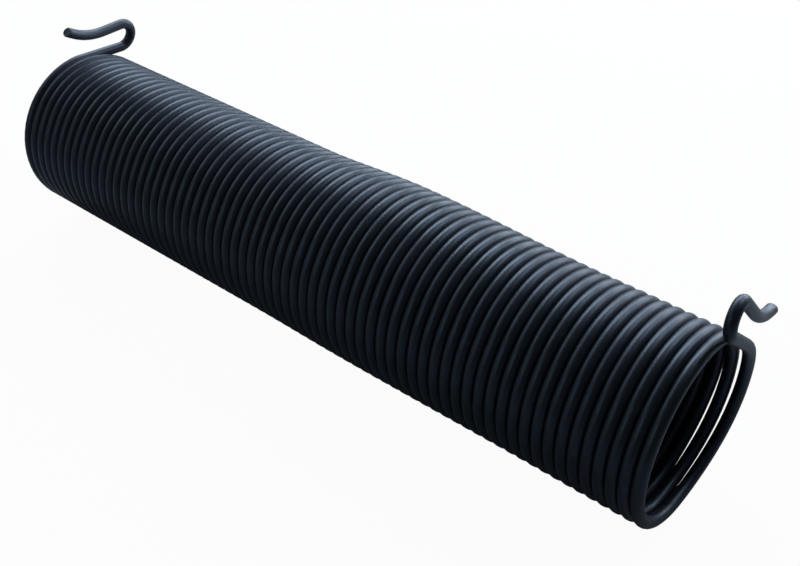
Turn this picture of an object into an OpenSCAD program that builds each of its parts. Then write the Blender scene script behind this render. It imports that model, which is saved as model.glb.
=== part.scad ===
// Torsion spring for a garage door: one length of round steel wire, close-wound
// into a long coil, with a hook formed on each end.
// The coil's axis is X and +Z is up. The origin is on the axis, halfway along the coil as it
// would be if every turn were closed. The winding is right-handed. It starts at the far
// end (-X) and each turn runs down the front (-Y) side, under the axis and up the back side.

/* [Wire] */
// Diameter of the coated wire
wire_d = 5.8; // [4:0.1:7]
// Chamfer round each sheared end of the wire
end_chamfer = 0.6; // [0.2:0.1:1.2]

/* [Coil] */
// Radius from the coil's axis to the middle of the wire
coil_r = 43; // [35:0.5:55]
// Number of turns, counted from top to top
turns = 67; // [20:1:80]
// Clear gap between neighbouring turns
turn_gap = 0.22; // [0.2:0.02:2]
// Extra clear gap in the last turn but one, doubled in the last turn
end_opening = 0.6; // [0:0.01:2]

/* [Swell] */
// Extra radius of the largest turn, where the coil has swelled
swell = 1.5; // [0:0.1:3]
// Number of the largest turn
swell_turn = 39; // [10:1:60]
// Turns over which the swell builds up
swell_rise = 11; // [5:1:30]
// Turns over which it dies away
swell_fall = 18; // [5:1:30]

/* [Hooks] */
// Radius of the tight bend, to the middle of the wire
bend_r = 7.5; // [5:0.1:12]
// Angle turned by the tight bend
bend_turn = 185; // [170:1:195]
// Radius of the gentle sweep that lifts the tip, to the middle of the wire
sweep_r = 39; // [25:1:60]
// Angle turned by the sweep
sweep_turn = 33; // [10:1:45]
// Straight length from the sweep to the sheared end
tip_l = 5.2; // [2:0.2:15]
// Lean of the hooks towards the middle of the coil
lean = 7; // [0:0.5:15]

/* [Far hook] */
// Angle past the top of the coil at which the wire leaves the far end
far_leave = 8.4; // [2:0.2:30]
// Straight length from the coil to the tight bend
far_lead_l = 27; // [15:0.5:35]
// Straight length from the tight bend to the sweep
far_leg_l = 12.3; // [5:0.1:25]

/* [Near hook] */
// Angle short of the top of the coil at which the wire leaves the near end
near_leave = 44; // [10:0.5:80]
// Angle by which the wire turns in towards the middle of the coil as it leaves
near_turn_in = 2.8; // [1:0.1:6]
// Radius of that turn, to the middle of the wire
turn_in_r = 20; // [10:1:60]
// Straight length from the coil to where the wire turns in
near_exit_l = 1; // [0.5:0.1:5]
// Straight length from there to the tight bend
near_lead_l = 27; // [15:0.5:35]
// Straight length from the tight bend to the sweep
near_leg_l = 22.7; // [5:0.1:30]

/* [Hidden] */

// Sides drawn on the round wire and on a half turn in the preview
wire_sides = 24;
turn_sides = 96;

// The wire is drawn as lengths that run into each other. Front half turns and straight
// lengths have the full diameter. Back half turns and bends are thinner by this step and
// are tucked into their neighbours, so that no two end faces coincide
joint_step = 0.1;
tuck_l = 0.1;

// Turns at the near end that stand open
open_turns = 2;
pitch = wire_d + turn_gap;
coil_l = pitch * turns;
closed_halves = 2 * (turns - open_turns);

// Advance of a half turn of the coil, where half turns from closed_halves on stand open
function open_order(half) = max(0, ceil((half - closed_halves + 1) / 2));
function advance(half) = (pitch + end_opening * open_order(half)) / 2;

// Where a half turn's middle lies on the coil's axis
function open_turns_before(half) = max(0, open_order(half) - 1);
function opened_before(half) =
  let (before = open_turns_before(half))
    end_opening * before * (before + 1) / 2;
function middle(half) = pitch * floor(half / 2) + opened_before(half) - coil_l / 2
  + advance(half) * (half % 2 == 0 ? 0.5 : 1.5);

// Extra radius of a turn, counted by its top. The turns keep one line along the bottom
function swell_at(turn) =
  let (share = (turn - swell_turn) / (turn < swell_turn ? swell_rise : swell_fall))
    abs(share) < 1 ? swell * (1 + cos(180 * share)) / 2 : 0;
function half_swell(half) = swell_at(floor((half + 1) / 2));

// Arc of wire, flat in XY and round the origin
module arc(radius, from, sweep, diameter = wire_d) {
  rotate_extrude(angle = sweep, start = from, $fn = turn_sides)
    translate([radius, 0])
      circle(d = diameter, $fn = wire_sides);
}

// The same arc as a thinner length, tucked in at both ends
module tucked_arc(radius, from, sweep) {
  tuck = tuck_l / radius * 180 / PI;
  arc(radius, from - tuck, sweep + 2 * tuck, wire_d - joint_step);
}

// Frame of a half turn: its origin is in the middle of the turn, with 0 degrees at the bottom,
// 90 at the back and 180 at the top. Even half turns go down the front, odd ones up the back
module on_half(half) {
  tilt = asin(advance(half) / (2 * (coil_r + half_swell(half))));
  translate([middle(half), 0, half_swell(half)])
    rotate([0, 90 + (half % 2 == 0 ? -tilt : tilt), 0])
      children();
}

module front_half(half) {
  on_half(half)
    arc(coil_r + half_swell(half), 180, 180);
}

module back_half(half) {
  on_half(half)
    tucked_arc(coil_r + half_swell(half), 0, 180);
}

// Straight wire along X, with the children at its end
module straight(length) {
  rotate([0, 90, 0])
    cylinder(h = length, d = wire_d, $fn = wire_sides);
  translate([length, 0, 0])
    children();
}

// Bend from the X direction towards +Y, or -Y for a negative turn, with the children at its end
module bend(radius, turn) {
  side = sign(turn);
  translate([0, side * radius, 0]) {
    tucked_arc(radius, min(turn, 0) - 90 * side, abs(turn));
    rotate([0, 0, turn])
      translate([0, -side * radius, 0])
        children();
  }
}

// Straight wire along X that ends in a chamfered, sheared face
module tip() {
  edge = wire_d / 2 - end_chamfer;
  rotate([0, 90, 0])
    rotate_extrude($fn = wire_sides)
      polygon([[0, 0], [wire_d / 2, 0], [wire_d / 2, tip_l - end_chamfer], [edge, tip_l], [0, tip_l]]);
}

// Hook at the end of a lead along X: it doubles back on the +Y side and leans towards +Z
module hook(leg_l) {
  rotate([lean, 0, 0])
    bend(bend_r, bend_turn)
      straight(leg_l)
        bend(sweep_r, -sweep_turn)
          tip();
}

// Far end: the wire comes up the back to the first turn, a little past the top
module far_end() {
  on_half(-1) {
    tucked_arc(coil_r, 180 - far_leave, far_leave);
    rotate([0, 0, 180 - far_leave])
      translate([coil_r, 0, 0])
        rotate([0, 0, -90])
          straight(far_lead_l)
            hook(far_leg_l);
  }
}

// Near end: the last half turn is cut short and the wire leaves it over the top
module near_end() {
  on_half(2 * turns - 1) {
    tucked_arc(coil_r, 0, 180 - near_leave);
    rotate([0, 0, 180 - near_leave])
      translate([coil_r, 0, 0])
        rotate([180, 0, 90])
          straight(near_exit_l)
            rotate([90, 0, 0])
              bend(turn_in_r, near_turn_in)
                rotate([-90, 0, 0])
                  straight(near_lead_l)
                    hook(near_leg_l);
  }
}

module spring_wire() {
  color("#23272e") {
    for (half = [0 : 2 : 2 * turns - 2])
      front_half(half);
    for (half = [1 : 2 : 2 * turns - 3])
      back_half(half);
    far_end();
    near_end();
  }
}

spring_wire();
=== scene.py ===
"""Looks, light and camera for a garage door torsion spring.

The spring is one length of black-coated steel wire. Its CAD solid is replaced by a smooth
tube that follows the same path, so that the coating shades without facets and the closed
turns all but touch. The tube also leans the open turns and gives the wire its slanted cut.
"""

from math import asin, ceil, cos, pi, radians, sin, sqrt

import bpy
from mathutils import Matrix, Vector


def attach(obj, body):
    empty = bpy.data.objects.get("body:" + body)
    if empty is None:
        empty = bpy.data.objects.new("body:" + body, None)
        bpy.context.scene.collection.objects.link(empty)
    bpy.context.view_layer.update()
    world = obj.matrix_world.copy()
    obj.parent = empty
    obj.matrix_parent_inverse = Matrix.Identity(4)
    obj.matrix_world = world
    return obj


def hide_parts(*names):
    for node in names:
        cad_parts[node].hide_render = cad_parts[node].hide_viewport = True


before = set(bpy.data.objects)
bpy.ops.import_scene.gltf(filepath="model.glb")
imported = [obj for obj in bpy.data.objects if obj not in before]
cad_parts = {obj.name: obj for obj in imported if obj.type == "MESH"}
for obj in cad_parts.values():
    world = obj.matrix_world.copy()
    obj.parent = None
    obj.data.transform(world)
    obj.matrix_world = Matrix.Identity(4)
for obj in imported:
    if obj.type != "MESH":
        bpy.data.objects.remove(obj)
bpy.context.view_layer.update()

# ---------------------------------------------------------------- sizes, in metres and degrees

MM = 0.001

WIRE_R = 2.9 * MM
END_CHAMFER = 0.6 * MM
COIL_R = 43 * MM
TURNS = 67
PITCH = 6.02 * MM
OPEN_TURNS = 2
END_OPENING = 0.6 * MM

SWELL = 1.5 * MM
SWELL_TURN = 39
SWELL_RISE = 11
SWELL_FALL = 18

BEND_R = 7.5 * MM
BEND_TURN = 185
SWEEP_R = 39 * MM
SWEEP_TURN = 33
TIP_L = 5.2 * MM
LEAN = 7

FAR_LEAVE = 8.4
FAR_LEAD_L = 27 * MM
FAR_LEG_L = 12.3 * MM

NEAR_LEAVE = 44
NEAR_TURN_IN = 2.8
TURN_IN_R = 20 * MM
NEAR_EXIT_L = 1 * MM
NEAR_LEAD_L = 27 * MM
NEAR_LEG_L = 22.7 * MM

# The CAD solid keeps its turns a hair apart. Here the closed ones all but touch, as they do in
# the real spring: the coil is of slightly thicker wire on a slightly smaller circle
CLOSED_WIRE_R = 3.005 * MM
OPEN_WIRE_R = 2.93 * MM
HOOK_WIRE_R = 2.84 * MM
SNUG_COIL_R = 42.85 * MM

# How the open turns part at the back: how late the last turn opens, and the gap low down at
# the back of both, with how far round from the bottom that gap reaches
LATE_OPENING = 1.3
LOW_GAP = 0.72 * MM
LOW_GAP_END = 112

# The sheared ends: a slanted cut with a low lip round it and a shallow, less slanted hollow
CUT_SLANT = 0.8 * MM
LIP_R = 2.45 * MM
HOLLOW_R = 1.9 * MM
HOLLOW = 0.35 * MM
HOLLOW_SLANT = 0.5

# How much lighter the tips are painted, kept on the tube as an attribute, and how far it reaches
# from a tip. The lighter tips are partly worn coating and partly painted light, for light from
# the right on the near hook
PAINTED_TIP_ATTRIBUTE = "tip_wear_and_light"
LIGHTER_TIP_L = 58 * MM

# The tube: rings in half a turn and in the far end's short arc, sides round the wire, and how
# far apart rings are on a bend and on a straight. Edges from SHARP_FROM degrees up stay sharp
HALF_TURN_RINGS = 32
FAR_ARC_RINGS = 3
TUBE_SIDES = 20
BEND_STEP = 4
STRAIGHT_STEP = 3 * MM
SHARP_FROM = 35

# Where at least this share of the wire's direction is along the coil's axis, each ring of the
# tube is carried over from the one before
ALONG_AXIS = 0.7

LAST_HALF = 2 * TURNS - 1
CLOSED_HALVES = 2 * (TURNS - OPEN_TURNS)
COIL_L = PITCH * TURNS

# ---------------------------------------------------------------- the wire's path


def open_order(half):
    """0 on a closed half turn, then 1 and 2 on the turns that stand open."""
    return max(0, ceil((half - CLOSED_HALVES + 1) / 2))


def advance(half):
    return (PITCH + END_OPENING * open_order(half)) / 2


def middle(half):
    """Where the middle of a half turn lies along the coil."""
    before = max(0, open_order(half) - 1)
    opened = END_OPENING * before * (before + 1) / 2
    return PITCH * (half // 2) + opened - COIL_L / 2 + advance(half) * (1.5 if half % 2 else 0.5)


def swell_at(half):
    turn = (half + 1) // 2
    share = (turn - SWELL_TURN) / (SWELL_RISE if turn < SWELL_TURN else SWELL_FALL)
    return SWELL * (1 + cos(pi * share)) / 2 if abs(share) < 1 else 0.0


def move(x, y, z):
    return Matrix.Translation((x, y, z))


def turn_about(axis, degrees):
    return Matrix.Rotation(radians(degrees), 4, axis)


def on_half(half):
    """Frame of a half turn: 0 degrees at the bottom, 90 at the back and 180 at the top."""
    tilt = asin(advance(half) / (2 * (COIL_R + swell_at(half))))
    lift = move(middle(half), 0, swell_at(half))
    return lift @ Matrix.Rotation(pi / 2 + (tilt if half % 2 else -tilt), 4, "Y")


def arc_points(place, radius, start, end, count):
    points = []
    for i in range(count + 1):
        angle = radians(start + (end - start) * i / count)
        points.append(place @ Vector((radius * cos(angle), radius * sin(angle), 0)))
    return points


class Run:
    """Walks along the wire from a frame whose X is the wire's direction, and keeps its points."""

    def __init__(self, place):
        self.place = place
        self.points = [place.to_translation()]

    def straight(self, length):
        steps = max(1, round(length / STRAIGHT_STEP))
        for i in range(1, steps + 1):
            self.points.append(self.place @ Vector((length * i / steps, 0, 0)))
        self.place = self.place @ move(length, 0, 0)
        return self

    def bend(self, radius, degrees):
        side = 1 if degrees > 0 else -1
        centre = self.place @ move(0, side * radius, 0)
        steps = max(2, ceil(abs(degrees) / BEND_STEP))
        for i in range(1, steps + 1):
            angle = turn_about("Z", degrees * i / steps)
            self.points.append(centre @ angle @ Vector((0, -side * radius, 0)))
        self.place = centre @ turn_about("Z", degrees) @ move(0, -side * radius, 0)
        return self

    def roll(self, degrees):
        self.place = self.place @ turn_about("X", degrees)
        return self

    def hook(self, leg_l):
        self.roll(LEAN).bend(BEND_R, BEND_TURN).straight(leg_l)
        return self.bend(SWEEP_R, -SWEEP_TURN).straight(TIP_L)


def lean_back(points, half, turned):
    """Leans the open turns, which stay closed in front and underneath and part at the back.

    The last turn opens towards its top. Both open turns have a gap low down at the back.
    """
    for i, point in enumerate(points):
        progress = radians(turned) * i / (len(points) - 1)
        closed = PITCH * (half + (1 - cos(progress)) / 2) / 2 - COIL_L / 2
        behind = max(0, 1 + (point.y + point.z) / (sqrt(2) * COIL_R)) / 2
        opened = (point.x - closed) * behind**LATE_OPENING if half == LAST_HALF else 0
        if half % 2 and progress < radians(LOW_GAP_END):
            opened += LOW_GAP * sin(pi * progress / radians(LOW_GAP_END)) ** 2
        point.x = closed + opened
    return points


def wire_path():
    """Points from the far tip to the near tip, each with the wire's radius there."""
    leave = on_half(-1) @ turn_about("Z", 180 - FAR_LEAVE) @ move(COIL_R, 0, 0)
    far = Run(leave @ turn_about("Z", -90)).straight(FAR_LEAD_L).hook(FAR_LEG_L)
    path = [(point, HOOK_WIRE_R) for point in far.points[::-1]]
    points = arc_points(on_half(-1), COIL_R, 180 - FAR_LEAVE, 180, FAR_ARC_RINGS)
    path += [(point, OPEN_WIRE_R) for point in points[1:]]

    for half in range(LAST_HALF + 1):
        turned = 180 - NEAR_LEAVE if half == LAST_HALF else 180
        start = 0 if half % 2 else 180
        radius = SNUG_COIL_R + swell_at(half)
        count = round(HALF_TURN_RINGS * turned / 180)
        points = arc_points(on_half(half), radius, start, start + turned, count)
        if half >= CLOSED_HALVES:
            points = lean_back(points, half, turned)
        wire_r = CLOSED_WIRE_R if half < LAST_HALF else OPEN_WIRE_R
        path += [(point, wire_r) for point in points[1:]]

    leave = on_half(LAST_HALF) @ turn_about("Z", 180 - NEAR_LEAVE) @ move(COIL_R, 0, 0)
    near = Run(leave @ turn_about("Z", 90) @ turn_about("X", 180))
    near.straight(NEAR_EXIT_L).roll(90).bend(TURN_IN_R, NEAR_TURN_IN).roll(-90)
    near.straight(NEAR_LEAD_L).hook(NEAR_LEG_L)
    return path + [(point, HOOK_WIRE_R) for point in near.points[1:]]


# ---------------------------------------------------------------- the tube


def ring_frames(points):
    """A centre and two cross directions for each point.

    The first lies as near the coil's axis as can be. Where a hook's bend runs along that axis
    it is carried over from the point before, so the tube doesn't twist.
    """
    frames = []
    side = Vector((1, 0, 0))
    for i, point in enumerate(points):
        ahead = (points[min(i + 1, len(points) - 1)] - points[max(i - 1, 0)]).normalized()
        if abs(ahead.x) < ALONG_AXIS:
            side = Vector((1 if side.x > 0 else -1, 0, 0))
        side = (side - ahead * side.dot(ahead)).normalized()
        frames.append((point, side, ahead.cross(side)))
    return frames


def end_rings(end, inner):
    """The rings of a sheared end, from the hollow out to the shoulder: frame, radius, slant.

    The two frames are those of the wire's last point and of the one before it.
    """
    centre, side, up = end
    back = (inner[0] - centre).normalized()
    rings = []
    for depth, radius, slant in (
        (CUT_SLANT + HOLLOW, HOLLOW_R, HOLLOW_SLANT),
        (CUT_SLANT, LIP_R, 1),
        (CUT_SLANT + END_CHAMFER, HOOK_WIRE_R, 1),
    ):
        rings.append(((centre + back * depth, side, up), radius, back * CUT_SLANT * slant))
    return rings


def tip_wear_and_light(points):
    """How much lighter the coating is painted at each point, for wear and painted light: 1 at the
    tips, down to 0 in the hooks' bends.
    """
    along = [0.0]
    for point, following in zip(points, points[1:]):
        along.append(along[-1] + (following - point).length)
    return [max(0, 1 - min(run, along[-1] - run) / LIGHTER_TIP_L) for run in along]


def build_wire():
    """The whole wire as one closed tube. Each sheared end has two rings more than its point."""
    points, radii = zip(*wire_path())
    tip_light = tip_wear_and_light(points)
    tip_light = [tip_light[0]] * 2 + tip_light + [tip_light[-1]] * 2
    rings = [(place, radius, Vector()) for place, radius in zip(ring_frames(points), radii)]
    rings = end_rings(rings[0][0], rings[1][0]) + rings[1:]
    rings = rings[:-1] + end_rings(rings[-1][0], rings[-2][0])[::-1]

    vertices = []
    for (centre, side, up), radius, slant in rings:
        for k in range(TUBE_SIDES):
            angle = 2 * pi * k / TUBE_SIDES
            outward = cos(angle) * side + sin(angle) * up
            vertices.append(centre + radius * outward + slant * outward.z)

    faces = []
    for i in range(len(rings) - 1):
        for k in range(TUBE_SIDES):
            n = (k + 1) % TUBE_SIDES
            a, b = i * TUBE_SIDES, (i + 1) * TUBE_SIDES
            faces.append((a + k, a + n, b + n, b + k))
    last = (len(rings) - 1) * TUBE_SIDES
    faces.append(tuple(reversed(range(TUBE_SIDES))))
    faces.append(tuple(range(last, last + TUBE_SIDES)))

    mesh = bpy.data.meshes.new("spring_wire_smooth")
    mesh.from_pydata(vertices, [], faces)
    mesh.update()
    tip_attribute = mesh.attributes.new(PAINTED_TIP_ATTRIBUTE, "FLOAT", "POINT")
    tip_attribute.data.foreach_set("value", [value for value in tip_light for _ in range(TUBE_SIDES)])
    mesh.shade_smooth()
    mesh.set_sharp_from_angle(angle=radians(SHARP_FROM))
    wire = bpy.data.objects.new("spring_wire_smooth", mesh)
    bpy.context.collection.objects.link(wire)
    return wire


# ---------------------------------------------------------------- materials

# The coating: two tints that drift into each other, rubbed patches, tips painted lighter for wear
# and painted light, and the sheen
COOL_BLACK = (0.008, 0.014, 0.018)
BLUE_BLACK = (0.015, 0.015, 0.026)
RUBBED_GREY = (0.028, 0.034, 0.043)
# Painted light and wear: the tips are painted this lighter grey, for worn coating and for light
# from the right on the near hook
WORN_AND_LIT_GREY = (0.07, 0.075, 0.092)
SHEEN = (0.62, 0.76, 1.0)
SHEEN_LEVEL = 0.7
SMOOTHEST = 0.37
ROUGHEST = 0.45

# Noise scales of the tints, the rubbed patches and the grain, and the shares of the noise that
# each of the first two runs over
TINT_SCALE = 28
TINT_RANGE = (0.35, 0.7)
PATCH_SCALE = 170
PATCH_RANGE = (0.56, 0.74)
GRAIN_SCALE = 2600
GRAIN_STRENGTH = 0.25
GRAIN_HEIGHT = 0.05 * MM

# Tip value at which the coating is as grey as it gets, painted lighter for wear and painted light
FULLY_WORN_AND_LIT = 0.45

# The floor as the camera sees it, and as it lights the coating
FLOOR_WHITE = 0.96
FLOOR_COLOUR = (0.9, 0.9, 0.9)
FLOOR_BOUNCE = (0.40, 0.42, 0.44)
FLOOR_ROUGHNESS = 0.9


def new_material(name):
    material = bpy.data.materials.new(name)
    material.use_nodes = True
    return material, material.node_tree.nodes, material.node_tree.links


def noise(nodes, links, coords, scale, detail=3.0, roughness=0.5):
    node = nodes.new("ShaderNodeTexNoise")
    node.inputs["Scale"].default_value = scale
    node.inputs["Detail"].default_value = detail
    node.inputs["Roughness"].default_value = roughness
    links.new(coords, node.inputs["Vector"])
    return node.outputs["Fac"]


def spread(nodes, links, value, low, high, to_low=0.0, to_high=1.0):
    node = nodes.new("ShaderNodeMapRange")
    node.inputs["From Min"].default_value = low
    node.inputs["From Max"].default_value = high
    node.inputs["To Min"].default_value = to_low
    node.inputs["To Max"].default_value = to_high
    links.new(value, node.inputs["Value"])
    return node.outputs["Result"]


def mix_colour(nodes, links, factor, first, second):
    node = nodes.new("ShaderNodeMix")
    node.data_type = "RGBA"
    links.new(factor, node.inputs["Factor"])
    for socket, colour in ((node.inputs[6], first), (node.inputs[7], second)):
        if isinstance(colour, bpy.types.NodeSocket):
            links.new(colour, socket)
        else:
            socket.default_value = (*colour, 1)
    return node.outputs[2]


def coated_wire_material():
    """Black coating with a soft blue sheen, a fine grain, greyer rubbed patches and tips painted
    lighter, for worn coating and painted light.
    """
    material, nodes, links = new_material("coated_wire")
    shader = nodes["Principled BSDF"]
    coords = nodes.new("ShaderNodeTexCoord").outputs["Object"]

    cloud = spread(nodes, links, noise(nodes, links, coords, TINT_SCALE), *TINT_RANGE)
    patches = noise(nodes, links, coords, PATCH_SCALE, detail=5, roughness=0.65)
    rubbed = spread(nodes, links, patches, *PATCH_RANGE)
    tip_attribute = nodes.new("ShaderNodeAttribute")
    tip_attribute.attribute_name = PAINTED_TIP_ATTRIBUTE
    tip_light = spread(nodes, links, tip_attribute.outputs["Fac"], 0, FULLY_WORN_AND_LIT)

    colour = mix_colour(nodes, links, cloud, COOL_BLACK, BLUE_BLACK)
    colour = mix_colour(nodes, links, rubbed, colour, RUBBED_GREY)
    # The tips are painted lighter grey: worn coating and painted light
    colour = mix_colour(nodes, links, tip_light, colour, WORN_AND_LIT_GREY)
    links.new(colour, shader.inputs["Base Color"])

    roughness = spread(nodes, links, cloud, 0, 1, SMOOTHEST, ROUGHEST)
    links.new(roughness, shader.inputs["Roughness"])

    bump = nodes.new("ShaderNodeBump")
    bump.inputs["Strength"].default_value = GRAIN_STRENGTH
    bump.inputs["Distance"].default_value = GRAIN_HEIGHT
    grain = noise(nodes, links, coords, GRAIN_SCALE, detail=2, roughness=0.6)
    links.new(grain, bump.inputs["Height"])
    links.new(bump.outputs["Normal"], shader.inputs["Normal"])

    shader.inputs["Specular IOR Level"].default_value = SHEEN_LEVEL
    shader.inputs["Specular Tint"].default_value = (*SHEEN, 1)
    return material


def floor_material():
    """White to the camera, with a faint shadow. To the coating it is a duller, greyer floor."""
    material, nodes, links = new_material("white_floor")
    shader = nodes["Principled BSDF"]
    seen = nodes.new("ShaderNodeLightPath").outputs["Is Camera Ray"]
    colour = mix_colour(nodes, links, seen, FLOOR_BOUNCE, FLOOR_COLOUR)
    links.new(colour, shader.inputs["Base Color"])
    shader.inputs["Roughness"].default_value = FLOOR_ROUGHNESS
    glow = nodes.new("ShaderNodeEmission")
    glow.inputs["Color"].default_value = (1, 1, 1, 1)
    mix = nodes.new("ShaderNodeMixShader")
    links.new(spread(nodes, links, seen, 0, 1, 0, FLOOR_WHITE), mix.inputs["Fac"])
    links.new(shader.outputs["BSDF"], mix.inputs[1])
    links.new(glow.outputs["Emission"], mix.inputs[2])
    links.new(mix.outputs["Shader"], nodes["Material Output"].inputs["Surface"])
    return material


# ---------------------------------------------------------------- stage, light and camera

FLOOR_SIZE = 6.0
FLOOR_GAP = 0.2 * MM

SKY_COLOUR = (0.85, 0.92, 1.0)
SKY_STRENGTH = 0.06
WINDOW_COLOUR = (0.80, 0.90, 1.0)

# Name, place, target, width and height, power in watts and colour. A broad window stands behind
# and above the far half, a low one straight behind, and a small one behind and above the near
# half. The two fills are weak
LIGHTS = (
    ("window", (-0.62, 0.86, 0.74), (0, 0, 0), (1.1, 0.6), 12.3, WINDOW_COLOUR),
    ("low_window", (0.12, 1.27, 0.2), (0.03, 0, 0), (1.1, 0.35), 6.8, WINDOW_COLOUR),
    ("right_window", (0.3, 0.58, 0.6), (0.14, 0, 0), (0.4, 0.4), 1.9, WINDOW_COLOUR),
    ("left_fill", (-1.06, -0.1, 0.75), (0, 0, 0), (0.7, 0.7), 1.8, (0.85, 0.95, 1.0)),
    ("front_fill", (-0.5, -1.1, 0.6), (-0.08, 0, 0), (0.9, 0.6), 1.2, (0.85, 0.96, 1.0)),
)

CAMERA_AT = (0.3022, -0.3096, 0.3483)
CAMERA_YAW = -40.31
CAMERA_PITCH = -40.60
CAMERA_ROLL = -1.93
CAMERA_LENS = 48.64
SENSOR_WIDTH = 36
CLIP_START = 0.01


def add_floor():
    mesh = bpy.data.meshes.new("floor")
    half = FLOOR_SIZE / 2
    level = -(COIL_R + WIRE_R) - FLOOR_GAP
    corners = [(-half, -half), (half, -half), (half, half), (-half, half)]
    mesh.from_pydata([(x, y, level) for x, y in corners], [], [(0, 1, 2, 3)])
    floor = bpy.data.objects.new("floor", mesh)
    bpy.context.collection.objects.link(floor)
    mesh.materials.append(floor_material())


def add_area_light(name, at, target, size, power, colour):
    light = bpy.data.lights.new(name, "AREA")
    light.shape = "RECTANGLE"
    light.size, light.size_y = size
    light.energy = power
    light.color = colour
    lamp = bpy.data.objects.new(name, light)
    lamp.location = at
    lamp.rotation_euler = (Vector(target) - Vector(at)).to_track_quat("-Z", "Y").to_euler()
    bpy.context.collection.objects.link(lamp)


def add_lights():
    """The lights, and a sky that is dim to the coating and white to the camera."""
    for light in LIGHTS:
        add_area_light(*light)
    world = bpy.data.worlds.new("studio")
    world.use_nodes = True
    nodes, links = world.node_tree.nodes, world.node_tree.links
    sky = nodes["Background"]
    sky.inputs["Color"].default_value = (*SKY_COLOUR, 1)
    sky.inputs["Strength"].default_value = SKY_STRENGTH
    white = nodes.new("ShaderNodeBackground")
    white.inputs["Color"].default_value = (1, 1, 1, 1)
    mix = nodes.new("ShaderNodeMixShader")
    seen = nodes.new("ShaderNodeLightPath").outputs["Is Camera Ray"]
    links.new(seen, mix.inputs["Fac"])
    links.new(sky.outputs["Background"], mix.inputs[1])
    links.new(white.outputs["Background"], mix.inputs[2])
    links.new(mix.outputs["Shader"], nodes["World Output"].inputs["Surface"])
    bpy.context.scene.world = world


def add_camera():
    """Looks down along the coil from beyond its near end, in front of it."""
    data = bpy.data.cameras.new("camera")
    data.lens = CAMERA_LENS
    data.sensor_width = SENSOR_WIDTH
    data.clip_start = CLIP_START
    camera = bpy.data.objects.new("camera", data)
    yaw, pitch, roll = radians(CAMERA_YAW), radians(CAMERA_PITCH), radians(CAMERA_ROLL)
    ahead = Vector((sin(yaw) * cos(pitch), cos(yaw) * cos(pitch), sin(pitch)))
    level = ahead.cross(Vector((0, 0, 1))).normalized()
    above = level.cross(ahead)
    right = cos(roll) * level + sin(roll) * above
    up = cos(roll) * above - sin(roll) * level
    facing = Matrix((right, up, -ahead)).transposed().to_4x4()
    camera.matrix_world = Matrix.Translation(CAMERA_AT) @ facing
    bpy.context.collection.objects.link(camera)
    bpy.context.scene.camera = camera


# ---------------------------------------------------------------- the scene

wire = build_wire()
wire.data.materials.append(coated_wire_material())
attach(wire, "root")
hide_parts("spring_wire")

add_floor()
add_lights()
add_camera()

bpy.context.scene.view_settings.view_transform = "Standard"
